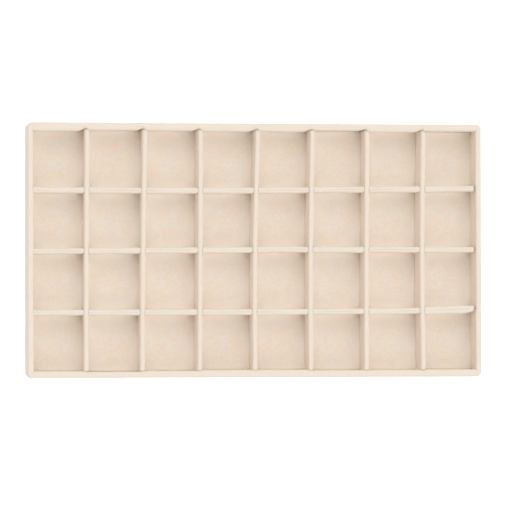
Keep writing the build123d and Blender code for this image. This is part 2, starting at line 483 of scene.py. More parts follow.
# %% [markdown]
# ## The floor lining
#
# The floor is a thin card with the same cloth drawn over it and down its edges, dropped in between
# the lined walls. The dividers press it down, so between them the cloth swells up a little, and in
# a few corners a small pucker is left. One height for each point of the floor says all that, so
# this is a plain grid with a height function. Its outermost rows turn down over the card's edge.

# %% The floor's grid and height
floor_clearance = 0.2 * mm
floor_depth = 0.5 * mm
floor_spacing = 1.5 * mm
# How round the cloth goes over the card's edge: at the left and right, and at the front and back
side_edge_radius, front_edge_radius = 0.6 * mm, 1.5 * mm
floor_swell = 0.35 * mm
# The way from a compartment's middle to a divider's middle, over the way to where the swell ends
swell_share = 1.09
floor_wave_length = 30 * mm
floor_fine_wave, floor_fine_length = 0.05 * mm, 6 * mm
pucker_height = 0.45 * mm
# How wide a pucker is, how far out of the corner its top is, and how long it is
pucker_width, pucker_place, pucker_length = 1.6 * mm, 6 * mm, 5 * mm
# Compartments with a pucker: column from the left, row from the front, and the corner it is in
puckers = [(7, 1, 1, -1), (3, 4, 1, 1), (5, 2, -1, -1), (2, 2, 1, -1), (8, 3, 1, 1), (1, 1, -1, 1)]


def turned_edge(reach, spacing, radius):
    """Places across a sheet that turns down at both edges, and how far down each lies: flat in
    the middle, then a quarter circle and a short upright run."""
    turn = np.linspace(0, np.pi / 2, 6)[1:]
    flat = np.linspace(-(reach - radius), reach - radius, round(2 * reach / spacing))
    near = reach - radius - np.array([0.3, 0.6, 1.0, 1.4, 1.9, 2.5]) * mm
    flat = np.sort(np.concatenate([flat, near, -near]))
    run = np.concatenate([reach - radius + radius * np.sin(turn), [reach]])
    down = np.concatenate([radius * (1 - np.cos(turn)), [floor_top - base_top]])
    place = np.concatenate([-run[::-1], flat, run])
    return place, np.concatenate([down[::-1], 0 * flat, down])


def pucker(x, y, corner_x, corner_y, side_x, side_y):
    """Ridge out of a corner along its diagonal: a narrow bell across the diagonal, times a wider
    bell along it whose top is a little way out."""
    from_x = (corner_x - x) * side_x
    from_y = (corner_y - y) * side_y
    out = (from_x + from_y) / math.sqrt(2)
    aside = (from_x - from_y) / math.sqrt(2)
    across = np.exp(-((aside / pucker_width) ** 2))
    return across * np.exp(-(((out - pucker_place) / pucker_length) ** 2))


def floor_height(x, y, u, v, x_borders, y_borders):
    """Height over the card. The swell in a compartment is one less the fourth power of the place
    across it, times the same lengthways; waves and puckers are multiplied by it too."""
    swell = 1 - np.clip(np.abs(u) * swell_share, 0, 1) ** 4
    swell = swell * (1 - np.clip(np.abs(v) * swell_share, 0, 1) ** 4)
    flat = np.stack([x + 0 * y, y + 0 * x, 0 * x * y], axis=-1)
    height = floor_swell * (1 + 0.5 * ripples(flat, floor_wave_length, 5))
    height = height + floor_fine_wave * ripples(flat, floor_fine_length, 6)
    for column, row, side_x, side_y in puckers:
        corner_x = x_borders[column - 1 if side_x < 0 else column]
        corner_y = y_borders[row - 1 if side_y < 0 else row]
        height = height + pucker_height * pucker(x, y, corner_x, corner_y, side_x, side_y)
    return height * swell


print("puckers in the floor:", len(puckers))

# %% [markdown]
# The floor's colour carries painted light and shade. Along the walls and dividers it is painted
# pale, as painted light against the shade there. At the foot of the front and back linings lies a
# thin line of painted shade, and painted shade fills the back right corner of a compartment, most
# of all at the left end of the tray. One number for each point says this, and the finish further down
# reads it.

# %% Floor lining
edge_reach = 6 * mm
# Where in a compartment's depth, from -1 to 1, its front turns into its back
front_until, back_from = -0.4, 0.8
# How much less painted light the floor gets at a compartment's left side and at its right side,
# first at its front and then at its back
left_loss, right_loss = (0.5, 0.15), (0.0, 0.8)
# The lines of painted shade at the linings' foot: how far behind the lining they start, how wide
# they are, and how dark they are painted
front_line = (0.2 * mm, 0.7 * mm, 1.0)
back_line = (1.1 * mm, 0.9 * mm, 0.35)
# The painted shade in the back right corner: where across and along a compartment it starts, over
# how much it grows, how dark it is painted, and how much less that is for each column further right
corner_start, corner_rise, corner_painted_shade, corner_fade = 0.6, 0.3, 0.6, 0.1


def painted_shade_line(distance, behind, width, painted_shade_strength):
    """Painted shade, full up to a line and less past it, as a bell: e to the power of less the square
    of the distance over the width."""
    return painted_shade_strength * np.exp(-((np.clip(distance + behind, 0, None) / width) ** 2))


def near_edge(place, dividers, reach, half):
    """1 at a wall or a divider's side and falling away from it: e to the power of less the
    distance over edge_reach."""
    borders = np.array([-reach - half, *dividers, reach + half])
    distance = np.abs(place[..., None] - borders).min(axis=-1) - half
    return np.exp(-np.clip(distance, 0, None) / edge_reach)


def floor_painted_light_and_shade(x, y, u, v, column):
    """Painted light and shade of the floor: 1 where it is painted pale as light, 0 in between and -1
    where it is painted dark as shade. The painted shade in the corner is a soft step across the
    compartment times one along it."""
    near_x = near_edge(x, cross_places, inner_length, cross_half)
    near_y = near_edge(y, long_places, inner_width, long_half)
    towards_back = smooth_step((v - front_until) / (back_from - front_until))
    at_left = np.interp(towards_back, [0, 1], left_loss)
    at_right = np.interp(towards_back, [0, 1], right_loss)
    near_x = near_x * (1 - np.where(u > 0, at_right, at_left))
    in_corner = smooth_step((u - corner_start) / corner_rise)
    in_corner = in_corner * smooth_step((v - corner_start) / corner_rise) * (1 - corner_fade * column)
    # Painted light: the floor's edges are made paler, less so on a compartment's shaded sides
    painted_light_share = (1 - (1 - near_x) * (1 - near_y)) * (1 - in_corner)
    from_front = y + inner_width - np.array(stand_offs["front"][0])[column] * mm
    from_back = inner_width - y - np.array(stand_offs["back"][0])[::-1][column] * mm
    # Painted shade: thin lines at the foot of the front and back linings, and the back right corner
    painted_shade_and_flattening = painted_shade_line(from_front, *front_line) + painted_shade_line(from_back, *back_line)
    painted_shade_and_flattening = painted_shade_and_flattening + corner_painted_shade * in_corner
    return painted_light_share * (1 - painted_shade_and_flattening) - painted_shade_and_flattening


def floor_sheet():
    """Grid over the whole floor, moved as the dividers stand, and its painted light and shade."""
    x, down_x = turned_edge(inner_length - floor_clearance, floor_spacing, side_edge_radius)
    y, down_y = turned_edge(inner_width - floor_clearance, floor_spacing, front_edge_radius)
    x, down_x, y = x[:, None], down_x[:, None], y[None, :]
    x_borders = np.concatenate([[-inner_length], cross_places, [inner_length]])
    y_borders = np.concatenate([[-inner_width], long_places, [inner_width]])
    u, column = compartment_share(x, x_borders)
    v = compartment_share(y, y_borders)[0]
    height = floor_top + floor_height(x, y, u, v, x_borders, y_borders)
    height = height - np.maximum(down_x, down_y)
    points = np.stack([x + 0 * y, y + 0 * x, height], axis=-1)
    return stand_by_hand(points), floor_painted_light_and_shade(x, y, u, v, column)


floor_points, floor_light_and_shade = floor_sheet()
floor_lining = thicken(surface("floor_cloth", floor_points, painted_light_and_shade=floor_light_and_shade), floor_depth)
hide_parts("floor_lining")
print("faces in the floor lining:", len(floor_lining.data.polygons))

# %% [markdown]
# ## The dividers' covers
#
# Each divider is a strip of card in a folded piece of cloth: up one side, over the top edge and
# down the other. The long strips are slotted from above and the cross strips from below, each to
# half the height, and the cross strips are set down over the long ones. From above, the cross
# dividers therefore run through from front to back, and the long ones show as short lengths with
# soft rounded ends.
#
# One function makes the fold for both kinds. It carries a narrow arch along the strip, and the
# arch's height and width may change on the way: both shrink towards a rounded end, and the height
# drops to the lap inside a slot that is open at the top. A slot that is open at the bottom is cut
# by leaving out the faces there.

# %% Helpers for folded strips
crown = 1.5 * mm
# How far the pile stands out from the strips' sides
long_pile_fullness = 0.26 * mm
cross_pile_fullness = 0.252 * mm
lap_clearance = 0.1 * mm
strip_spacing = 1.6 * mm
# Rows of faces from the floor to the lap, and from there to the crown's foot
lap_rows, upper_rows = 4, 8
# How much of the crown's height is left where a strip, or a length of it, ends
least_arch = 0.15


def strip_places(reach, edges, spacing):
    """Places along a strip: evenly spread, and closer and closer together towards the edges."""
    near = np.array([0, 0.03, 0.12, 0.3, 0.55, 0.9, 1.3, 1.8, 2.4, 3.2]) * mm
    even = np.linspace(-reach, reach, round(2 * reach / spacing))
    close = (np.asarray(edges)[:, None] + np.concatenate([-near, near])).ravel()
    places = np.sort(np.concatenate([even, close]))
    places = places[(places >= -reach) & (places <= reach)]
    return places[np.concatenate([[True], np.diff(places) > 0.01 * mm])]


def rounding(distance, radius):
    """Quarter circle: 0 at distance 0, rising to 1 at the radius and staying there."""
    t = 1 - np.clip(distance / radius, 0, 1)
    return np.sqrt(1 - t * t)


def folded_strip(along, top, half, end, mouth, lap, squareness):
    """Cloth folded over a strip. The rows go up one side to the lap, on to the crown's foot,
    over the crown and down the other side. Across the crown the place is half the
    thickness times the cosine, and the height is the crown times the sine, each raised to the
    power of squareness. The half thickness is also multiplied by end, and above the lap by mouth.
    Gives an array of (along, across, height)."""
    turn = np.linspace(0, np.pi, 19)[1:-1]
    arch = crown * np.minimum(1.0, least_arch + (1 - least_arch) * np.minimum(end, mouth))
    knee = np.minimum(lap, top - arch)
    low = floor_top + (knee - floor_top) * np.linspace(0, 1, lap_rows + 1)[:, None]
    high = knee + (top - arch - knee) * np.linspace(0, 1, upper_rows + 1)[1:, None]
    over = top - arch + arch * np.sin(turn)[:, None] ** squareness
    height = np.concatenate([low, high, over, high[::-1], low[::-1]])
    cosine = np.sign(np.cos(turn)) * np.abs(np.cos(turn)) ** squareness
    side = np.ones(len(low) + len(high))
    across = np.concatenate([side, cosine, -side])[:, None] * half * end
    above = smooth_step((height - lap) / (0.8 * mm))
    across = across * (1 - (1 - mouth) * above)
    return np.stack([along + 0 * across, across, height], axis=-1)


print("places along a cross divider:", len(strip_places(inner_width, long_places, strip_spacing)))

# %% [markdown]
# The long dividers' tops are a little flatter and have a groove along the middle, where the
# cloth's two halves lie side by side and the pile is flattened. The groove's colour is darker,
# partly for that flattened pile and partly as painted shade. Each length butts on the cross
# divider at its left and is softly rounded off before the one at its right. The front strip was
# wrapped loosely at its right end: it is fuller there, and its last few millimetres are folded in.

# %% Long divider covers
# The rounding of a long divider's own ends, at the left and at the right wall, in height and in
# plan, how far the right end stays short of the wall, and over how much it is drawn back for that
long_end_radii = (0.9 * mm, 1.8 * mm)
long_end_plan_radii = (0.3 * mm, 0.8 * mm)
end_gap = 1.3 * mm
end_gap_reach = 15 * mm
# The rounding at the left and at the right side of a cross divider, in height and in plan
mouth_radii = (0.9 * mm, 0.1 * mm)
mouth_plan_radii = (1.4 * mm, 0.1 * mm)
slot_half = cross_half + lap_clearance
# How far a long cover's thickness varies, and over what length
long_wave, long_wave_length = 0.12 * mm, 14 * mm
# The groove: how deep and wide it is, how far it wanders and over what length, how weak it gets and
# over what length, and how far down from the top it reaches
groove_depth, groove_width = 0.30 * mm, 0.50 * mm
groove_wander, wander_length = 0.35 * mm, 35 * mm
least_pressing, pressing_length = 0.3, 30 * mm
groove_reach = 0.5 * mm
# The front divider's loose right end: where it starts, over how much it grows, how much fuller it
# is, and how far its last stretch is folded in
loose_start = 126 * mm
loose_reach = 10 * mm
loose_fullness = 0.75 * mm
folded_in = 0.85 * mm


def long_cover(number, y):
    """Folded strip along X whose top drops to the lap inside each slot. The groove is a bell
    across the top, wandering a little from its middle. Also gives the groove's darkening, partly
    flattened pile and partly painted shade, as a number below zero."""
    edges = np.concatenate([cross_places - slot_half, cross_places + slot_half])
    edges = np.concatenate([edges, [-inner_length, inner_length]])
    along = strip_places(inner_length, edges, strip_spacing)
    nearest = cross_places[np.abs(along[:, None] - cross_places).argmin(axis=1)]
    to_slot = np.abs(along - nearest) - slot_half
    to_end = inner_length - np.abs(along)
    in_slot = to_slot < -0.005 * mm
    mouth = rounding(to_slot, np.where(along < nearest, *mouth_plan_radii))
    mouth = np.where(in_slot, 1.0, mouth)
    end = rounding(to_end, np.where(along < 0, *long_end_plan_radii))
    mouth_radius = np.where(along < nearest, *mouth_radii)
    end_radius = np.where(along < 0, *long_end_radii)
    top = divider_top - end_radius * (1 - rounding(to_end, end_radius))
    top = top - mouth_radius * (1 - rounding(to_slot, mouth_radius))
    top = np.where(in_slot, lap_height, top)
    spine = np.stack([along, 0 * along + y, 0 * along + divider_top], axis=1)
    half = long_half + long_pile_fullness
    half = half + long_wave * ripples(spine, long_wave_length, 30 + number)
    drawn_back = 0 * along
    if number == 1:
        near_end = np.clip((along - inner_length + loose_reach) / loose_reach, 0, 1)
        drawn_back = folded_in * near_end * near_end
        half = half + loose_fullness * smooth_step((along - loose_start) / loose_reach) - drawn_back
    strip = folded_strip(along, top, half, end, mouth, lap_height, squareness=0.8)
    wander = groove_wander * ripples(spine, wander_length, 60 + number)
    pressing = smooth_step(0.5 + 0.6 * ripples(spine, pressing_length, 63 + number))
    pressing = least_pressing + (1 - least_pressing) * pressing
    groove = pressing * np.exp(-(((strip[..., 1] - wander) / groove_width) ** 2))
    groove = groove * (strip[..., 2] > top - groove_reach) * ~in_slot
    strip[..., 2] -= groove_depth * groove
    strip[..., 1] += y + drawn_back
    strip[..., 0] -= end_gap * smooth_step((strip[..., 0] - inner_length) / end_gap_reach + 1)
    # The groove goes on the mesh below zero: flattened pile, and painted shade
    return stand_by_hand(strip), -groove


long_covers = []
for number, y in zip(long_numbers, long_places):
    points, painted_shade_and_flattening = long_cover(number, y)
    piece = thicken(surface(f"long_cover_{number}", points, painted_light_and_shade=painted_shade_and_flattening), cloth_depth)
    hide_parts(f"long_divider_cover_{number}")
    long_covers.append(piece)
print("faces in a long cover:", len(long_covers[0].data.polygons))

# %% [markdown]
# The cross dividers run on unbroken at the top. Only below the laps is their cloth cut away, to
# let the long dividers through, so faces are left out there and the fold itself stays as it is.

# %% Cross divider covers
# The rounding of a cross divider's ends, in height and in plan
end_height_radius = 2.6 * mm
end_plan_radius = 1.1 * mm
# How far a cross cover's height and thickness vary, and over what lengths
cross_wave = 0.08 * mm
cross_top_length, cross_side_length = 20 * mm, 14 * mm


def cross_cover(number, x):
    """Folded strip along Y. Also gives which faces stay: all but those in a slot that are below
    the lap, which means in the first and the last few rows."""
    slot = long_half + lap_clearance
    edges = np.concatenate([long_places - slot, long_places + slot, [-inner_width, inner_width]])
    along = strip_places(inner_width, edges, strip_spacing)
    to_end = inner_width - np.abs(along)
    end = rounding(to_end, end_plan_radius)
    top = divider_top - end_height_radius * (1 - rounding(to_end, end_height_radius))
    spine = np.stack([0 * along + x, along, 0 * along + divider_top], axis=1)
    top = top + cross_wave * ripples(spine, cross_top_length, 50 + number)
    half = cross_half + cross_pile_fullness
    half = half + cross_wave * ripples(spine, cross_side_length, 40 + number)
    lap = lap_height + lap_clearance
    strip = folded_strip(along, top, half, end, 1 + 0 * along, lap, squareness=0.9)
    points = np.stack([x - strip[..., 1], strip[..., 0], strip[..., 2]], axis=-1)
    between = (along[1:] + along[:-1]) / 2
    slotted = np.abs(between[:, None] - long_places).min(axis=1) < slot
    face_rows = np.arange(len(strip) - 1)
    low_rows = (face_rows < lap_rows) | (face_rows >= len(face_rows) - lap_rows)
    return stand_by_hand(points), ~(low_rows[:, None] & slotted[None, :])


cross_covers = []
for number, x in zip(cross_numbers, cross_places):
    points, keep = cross_cover(number, x)
    piece = thicken(surface(f"cross_cover_{number}", points, keep), cloth_depth)
    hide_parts(f"cross_divider_cover_{number}")
    cross_covers.append(piece)
print("faces in a cross cover:", len(cross_covers[0].data.polygons))

# %% [markdown]
# ## The card in the dividers
#
# The card can't be seen in the finished tray, but it gives the strips their stiffness, and it must
# bow and lean exactly as its cover does. Each card is a flat grid on the strip's middle plane,
# moved by the same soft shift and then given its thickness on both sides. The slots are cut by
# leaving faces out, so the grid has lines exactly along their edges.

# %% Cards of the dividers
cloth = 0.8 * mm
card_spacing = 3 * mm


def card_grid(reach, places, slot, slotted_above, lap):
    """Upright grid from the floor to the card's top, whose corners are rounded, with one row at
    the lap. Gives (along, height) and which faces lie outside the slots."""
    edges = np.concatenate([places - slot, places + slot])
    even = np.linspace(-reach, reach, round(2 * reach / card_spacing))
    along = np.concatenate([even, edges])
    corner = end_height_radius - cloth
    ends = reach - corner * (1 - np.sin(np.linspace(0, np.pi / 2, 7)))
    along = np.unique(np.concatenate([along, ends, -ends]))
    top = divider_top - cloth - corner * (1 - rounding(reach - np.abs(along), corner))
    low = floor_top + (lap - floor_top) * np.linspace(0, 1, lap_rows + 1)[:, None] + 0 * top
    high = lap + (top - lap) * np.linspace(0, 1, lap_rows + 1)[1:, None]
    height = np.concatenate([low, high])
    between = (along[1:] + along[:-1]) / 2
    in_slot = np.abs(between[:, None] - places).min(axis=1) < slot
    face_rows = np.arange(2 * lap_rows)
    cut_rows = face_rows >= lap_rows if slotted_above else face_rows < lap_rows
    return along + 0 * height, height, ~(cut_rows[:, None] & in_slot[None, :])


cards = []
for number, y in zip(long_numbers, long_places):
    along, height, keep = card_grid(
        inner_length - cloth - end_gap, cross_places, slot_half, True, lap_height - cloth
    )
    points = stand_by_hand(np.stack([along, 0 * along + y, height], axis=-1))
    card = thicken(surface(f"long_card_{number}", points, keep), 2 * (long_half - cloth), 0.0)
    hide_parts(f"long_divider_core_{number}")
    cards.append(card)
for number, x in zip(cross_numbers, cross_places):
    along, height, keep = card_grid(
        inner_width - cloth, long_places, long_half + lap_clearance, False, lap_height + lap_clearance
    )
    points = stand_by_hand(np.stack([0 * along + x, along, height], axis=-1))
    card = thicken(surface(f"cross_card_{number}", points, keep), 2 * (cross_half - cloth), 0.0)
    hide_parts(f"cross_divider_core_{number}")
    cards.append(card)
print("cards in the dividers:", len(cards))

# %% [markdown]
# ## The backing sheet
#
# Under the tray a sheet of lining paper is pasted over the hems and hides their raw edges. In the
# middle, where there is no hem, it lies against the base board, a cloth's thickness higher. Seen
# from below it is a height again: nothing on the border, then a short slope up to the panel. The
# grid's four corners are rounded by squeezing their small squares into quarter circles.

# %% Backing sheet
backing_inset = 6 * mm
backing_corner = 2 * mm
paper_depth = 0.35 * mm
# Where the hems end and the paper goes up to the base board, and the lines of the grid there
panel_inset = 14.3 * mm
slope_lines = np.array([0, 0.2, 0.6, 0.8, 1.0]) * mm
paper_wave, paper_wave_length = 0.08 * mm, 25 * mm


def backing_grid():
    """Grid over the underside. Inside the panel's edge the height rises one for one up to the
    cloth's thickness. Corner squares (p, q) become p times the root of one less half of q
    squared, and the same the other way round."""
    x_reach, y_reach = half_length - backing_inset, half_width - backing_inset
    corner = backing_corner * np.linspace(0, 1, 5)[1:]
    x = np.linspace(-(x_reach - backing_corner), x_reach - backing_corner, 200)
    y = np.linspace(-(y_reach - backing_corner), y_reach - backing_corner, 110)
    x_edges = half_length - panel_inset - slope_lines
    y_edges = half_width - panel_inset - slope_lines
    x = np.unique(np.concatenate([x, x_reach - backing_corner + corner, x_edges]))
    y = np.unique(np.concatenate([y, y_reach - backing_corner + corner, y_edges]))
    x = np.unique(np.round(np.concatenate([x, -x]), 6))
    y = np.unique(np.round(np.concatenate([y, -y]), 6))
    grid_x, grid_y = np.meshgrid(x, y)
    p = np.clip((np.abs(grid_x) - x_reach + backing_corner) / backing_corner, 0, 1)
    q = np.clip((np.abs(grid_y) - y_reach + backing_corner) / backing_corner, 0, 1)
    squeezed_x = grid_x - np.sign(grid_x) * backing_corner * p * (1 - np.sqrt(1 - q * q / 2))
    squeezed_y = grid_y - np.sign(grid_y) * backing_corner * q * (1 - np.sqrt(1 - p * p / 2))
    inside_x = half_length - panel_inset - np.abs(grid_x)
    inside_y = half_width - panel_inset - np.abs(grid_y)
    inside = np.minimum(inside_x, inside_y)
    rise = np.clip(inside, 0, base_bottom - hem_bottom)
    points = np.stack([squeezed_x, squeezed_y, rise], axis=-1)
    wave = paper_wave * ripples(points, paper_wave_length, 71)
    points[..., 2] += wave * smooth_step(inside / (4 * mm))
    return points


backing = thicken(surface("backing_paper", backing_grid()), paper_depth)
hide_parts("backing_sheet")
print("faces in the backing sheet:", len(backing.data.polygons))

# %% [markdown]
# ## Finishes
#
# A finish is a small tree of nodes. The helpers below make the few kinds of node that the finishes
# here need, so that each finish further down reads like a recipe. All patterns are laid out by the
# place in the tray, in metres, so a pattern has one scale on all pieces.

# %% Helpers for finishes
def new_finish(name):
    """Material with an empty node tree but for a plain shader joined to the output."""
    finish = bpy.data.materials.new(name)
    finish.use_nodes = True
    finish.node_tree.nodes.clear()
    output = finish.node_tree.nodes.new("ShaderNodeOutputMaterial")
    shader = finish.node_tree.nodes.new("ShaderNodeBsdfPrincipled")
    finish.node_tree.links.new(shader.outputs["BSDF"], output.inputs["Surface"])
    return finish, finish.node_tree, shader


def object_place(tree):
    """Place on the piece in its own metres, which is also the place in the whole tray."""
    return tree.nodes.new("ShaderNodeTexCoord").outputs["Object"]


def noise(tree, place, size, detail=2.0, roughness=0.5, stretch=(1, 1, 1)):
    """Noise with features of about this size in metres, stretched along an axis if asked."""
    mapping = tree.nodes.new("ShaderNodeMapping")
    mapping.inputs["Scale"].default_value = stretch
    texture = tree.nodes.new("ShaderNodeTexNoise")
    texture.inputs["Scale"].default_value = 1 / size
    texture.inputs["Detail"].default_value = detail
    texture.inputs["Roughness"].default_value = roughness
    tree.links.new(place, mapping.inputs["Vector"])
    tree.links.new(mapping.outputs["Vector"], texture.inputs["Vector"])
    return texture.outputs["Fac"]


def steps_between(tree, value, low, high):
    """Rises from 0 at low to 1 at high in a soft S, and stays there beyond."""
    node = tree.nodes.new("ShaderNodeMapRange")
    node.interpolation_type = "SMOOTHSTEP"
    node.inputs["From Min"].default_value = low
    node.inputs["From Max"].default_value = high
    tree.links.new(value, node.inputs["Value"])
    return node.outputs["Result"]


def blended(tree, share, first, second, kind="MIX"):
    """Mixes two colours by a share from 0 to 1. Either colour may be another node's output."""
    node = tree.nodes.new("ShaderNodeMix")
    node.data_type = "RGBA"
    node.blend_type = kind
    if isinstance(share, float):
        node.inputs[0].default_value = share
    else:
        tree.links.new(share, node.inputs[0])
    for socket, colour in ((node.inputs[6], first), (node.inputs[7], second)):
        if isinstance(colour, tuple):
            socket.default_value = (*colour, 1)
        else:
            tree.links.new(colour, socket)
    return node.outputs[2]


def raised(tree, height, depth, strength, under=None):
    """Bump of this depth in metres, on top of another one if given."""
    node = tree.nodes.new("ShaderNodeBump")
    node.inputs["Distance"].default_value = depth
    node.inputs["Strength"].default_value = strength
    tree.links.new(height, node.inputs["Height"])
    if under is not None:
        tree.links.new(under, node.inputs["Normal"])
    return node.outputs["Normal"]


print("finish helpers ready")

# %% [markdown]
# ## The pile cloth
#
# A short brushed pile has no gloss. What makes it look soft is a faint bright sheen where it is seen
# at a slant, broad patches where the pile lies one way or the other, small tufts inside them, and
# the fine fuzz of the fibres. Each of these is a noise of its own size. The colour is a blend of
# two close beiges by the patches, and the tufts and fibres also push the surface up and down a
# little. Where the pile leans one way or the other, its colour turns a touch pinker, yellower or
# greyer. The rim and the dividers' tops get more light than the upright sides but look hardly
# brighter, so by the height above the floor their colour is painted a shade deeper, as painted
# shade. The number which the pieces carry on their meshes paints the floor's edges pale, as
# painted light, and paints shade dark: in the long dividers' grooves, where the pile is also
# flattened, in the folds of the back wall, and in lines and corners of the floor.

# %% Pile cloth, on the walls, the dividers and the floor
# Painted colours: a deeper one for the tops as painted shade, a pale one for the floor's edges as
# painted light, and a dark one as painted shade, in the grooves also flattened pile
painted_top_shade = (0.838, 0.75, 0.653)
painted_edge_light = (0.98, 0.925, 0.85)
flattened_pile_and_painted_shade = (0.75, 0.66, 0.565)


def soft_noise(tree, place, size, detail, low, high, stretch=(1, 1, 1)):
    """Noise drawn out in contrast: 0 where it is under low, and 1 where it is over high."""
    return steps_between(tree, noise(tree, place, size, detail, 0.6, stretch), low, high)


def tinted(tree, colour, share, first, second):
    """Multiplies a colour by a tint that lies between two others."""
    return blended(tree, 1.0, colour, blended(tree, share, first, second), "MULTIPLY")


def pile_cloth(name, pale, warm):
    """Two close beiges in patches, tinted by lean, tufts and fibres, painted a shade deeper near the
    rim as painted shade, then painted pale as light or dark as shade by the mesh's number."""
    finish, tree, shader = new_finish(name)
    place = object_place(tree)
    patches = soft_noise(tree, place, 13 * mm, 4.0, 0.36, 0.64)
    lean = soft_noise(tree, place, 6 * mm, 3.0, 0.36, 0.64, (1.0, 1.3, 1.0))
    turn = soft_noise(tree, place, 9 * mm, 3.0, 0.36, 0.64, (1.2, 1.0, 0.9))
    tufts = soft_noise(tree, place, 2.2 * mm, 3.0, 0.3, 0.7)
    fibres = noise(tree, place, 0.3 * mm, 3.0, 0.65)
    fuzz = steps_between(tree, fibres, 0.25, 0.75)
    colour = blended(tree, patches, pale, warm)
    colour = tinted(tree, colour, lean, (1.016, 0.984, 0.988), (0.988, 1.016, 1.008))
    colour = tinted(tree, colour, turn, (1.008, 1.0, 0.967), (0.992, 1.0, 1.033))
    colour = tinted(tree, colour, tufts, (0.975, 0.97, 0.96), (1.025, 1.03, 1.04))
    height = tree.nodes.new("ShaderNodeSeparateXYZ")
    tree.links.new(place, height.inputs["Vector"])
    # Painted shade: the tops, which get the most light, are made a shade deeper
    near_top = steps_between(tree, height.outputs["Z"], divider_top - 3.2 * mm, divider_top - 0.3 * mm)
    colour = blended(tree, near_top, colour, painted_top_shade)
    # The mesh's number: above 0 painted light, below 0 painted shade, in the grooves also flattened
    # pile
    painted_light_and_shade = tree.nodes.new("ShaderNodeAttribute")
    painted_light_and_shade.attribute_name = "painted_light_and_shade"
    painted_light_share = steps_between(tree, painted_light_and_shade.outputs["Fac"], 0.0, 1.0)
    colour = blended(tree, painted_light_share, colour, painted_edge_light)
    painted_shade_and_flattening = steps_between(tree, painted_light_and_shade.outputs["Fac"], 0.0, -1.0)
    colour = blended(tree, painted_shade_and_flattening, colour, flattened_pile_and_painted_shade)
    colour = tinted(tree, colour, fuzz, (0.95, 0.95, 0.95), (1.05, 1.05, 1.05))
    tree.links.new(colour, shader.inputs["Base Color"])
    normal = raised(tree, tufts, 0.25 * mm, 0.35)
    normal = raised(tree, fibres, 0.2 * mm, 0.5, normal)
    tree.links.new(normal, shader.inputs["Normal"])
    shader.inputs["Roughness"].default_value = 0.95
    shader.inputs["Specular IOR Level"].default_value = 0.15
    shader.inputs["Sheen Weight"].default_value = 0.25
    shader.inputs["Sheen Roughness"].default_value = 0.5
    shader.inputs["Sheen Tint"].default_value = (1.0, 0.97, 0.92, 1)
    return finish


cover_finish = pile_cloth("pile_cloth", (0.93, 0.838, 0.745), (0.93, 0.818, 0.704))
floor_finish = pile_cloth("floor_pile", (0.838, 0.763, 0.683), (0.838, 0.738, 0.643))
print("nodes in the pile cloth:", len(cover_finish.node_tree.nodes))

# %% [markdown]
# ## Card and paper
#
# The boards are grey card, pulped from mixed waste paper: a dull grey brown with darker and lighter
# specks and a slight grain. The backing is a thin lining paper, warmer and more even, with a faint
# clouding. Both hardly show, but a piece taken out of the tray should still look like what it is.

# %% Grey card and lining paper
def paper_like(name, main, cloudy, speck, speck_size, speck_share):
    """Two close colours in clouds, with small specks where a fine noise is high, and a grain."""
    finish, tree, shader = new_finish(name)
    place = object_place(tree)
    clouds = steps_between(tree, noise(tree, place, 9 * mm, 4.0), 0.3, 0.7)
    grain = noise(tree, place, 0.35 * mm, 3.0, 0.6, (1.0, 0.35, 1.0))
    specks = steps_between(tree, noise(tree, place, speck_size, 1.0), speck_share, speck_share + 0.04)
    colour = blended(tree, clouds, main, cloudy)
    colour = blended(tree, specks, colour, speck)
    tree.links.new(colour, shader.inputs["Base Color"])
    tree.links.new(raised(tree, grain, 0.06 * mm, 0.6), shader.inputs["Normal"])
    shader.inputs["Roughness"].default_value = 0.85
    shader.inputs["Specular IOR Level"].default_value = 0.3
    return finish


card_finish = paper_like(
    "grey_card", (0.33, 0.31, 0.275), (0.39, 0.36, 0.32), (0.16, 0.14, 0.12), 0.9 * mm, 0.66
)
paper_finish = paper_like(
    "lining_paper", (0.60, 0.50, 0.39), (0.65, 0.555, 0.44), (0.52, 0.42, 0.31), 0.6 * mm, 0.68
)
print("nodes in the grey card:", len(card_finish.node_tree.nodes))

# %% [markdown]
# ## Putting it together
#
# Each piece gets its finish and rides on the tray's one body. The length of the cloth's path round
# the wall is worked out and printed beside the front strip's length. The boards of the base, the
# walls and the floor keep the frame's own shape, and only get the card's finish.

# %% Finishes, bodies and cut sizes
def finish_piece(piece, finish):
    """Gives a new piece its finish and its body."""
    piece.data.materials.append(finish)
    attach(piece, "root")


wall_path = np.linalg.norm(np.diff(wall_section(), axis=0), axis=1).sum()
for side, cover in covers.items():
    finish_piece(cover, cover_finish)
finish_piece(floor_lining, floor_finish)
for piece in long_covers:
    finish_piece(piece, cover_finish)
for piece in cross_covers:
    finish_piece(piece, cover_finish)
for card in cards:
    finish_piece(card, card_finish)
finish_piece(backing, paper_finish)

boards = ["base_board", "floor_card"] + [f"wall_board_{side}" for side in covers]
for board in boards:
    for material_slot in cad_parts[board].material_slots:
        material_slot.material = card_finish
print("cut size of the front wall cover:", np.round([wall_path, 2 * half_length], 3))

# %% [markdown]
# ## Table, light and camera
#
# The tray was photographed from almost straight above, a little from its left and front, on pure
# white. The table is a plain pale sheet. To the camera alone it gives off a little light of its
# own, which takes it up to white while it still shows the tray's shadow. Seen from below it lets
# the view through, so that the underside can be looked at.

# %% Table
table_reach = 1.5
table_glow = 0.42


def seen_directly(tree):
    """1 for rays from the camera, from glossy surfaces and through glass, otherwise 0."""
    path = tree.nodes.new("ShaderNodeLightPath")
    total = path.outputs["Is Camera Ray"]
    for kind in ("Is Glossy Ray", "Is Transmission Ray"):
        either = tree.nodes.new("ShaderNodeMath")
        either.operation = "MAXIMUM"
        tree.links.new(total, either.inputs[0])
        tree.links.new(path.outputs[kind], either.inputs[1])
        total = either.outputs[0]
    return total


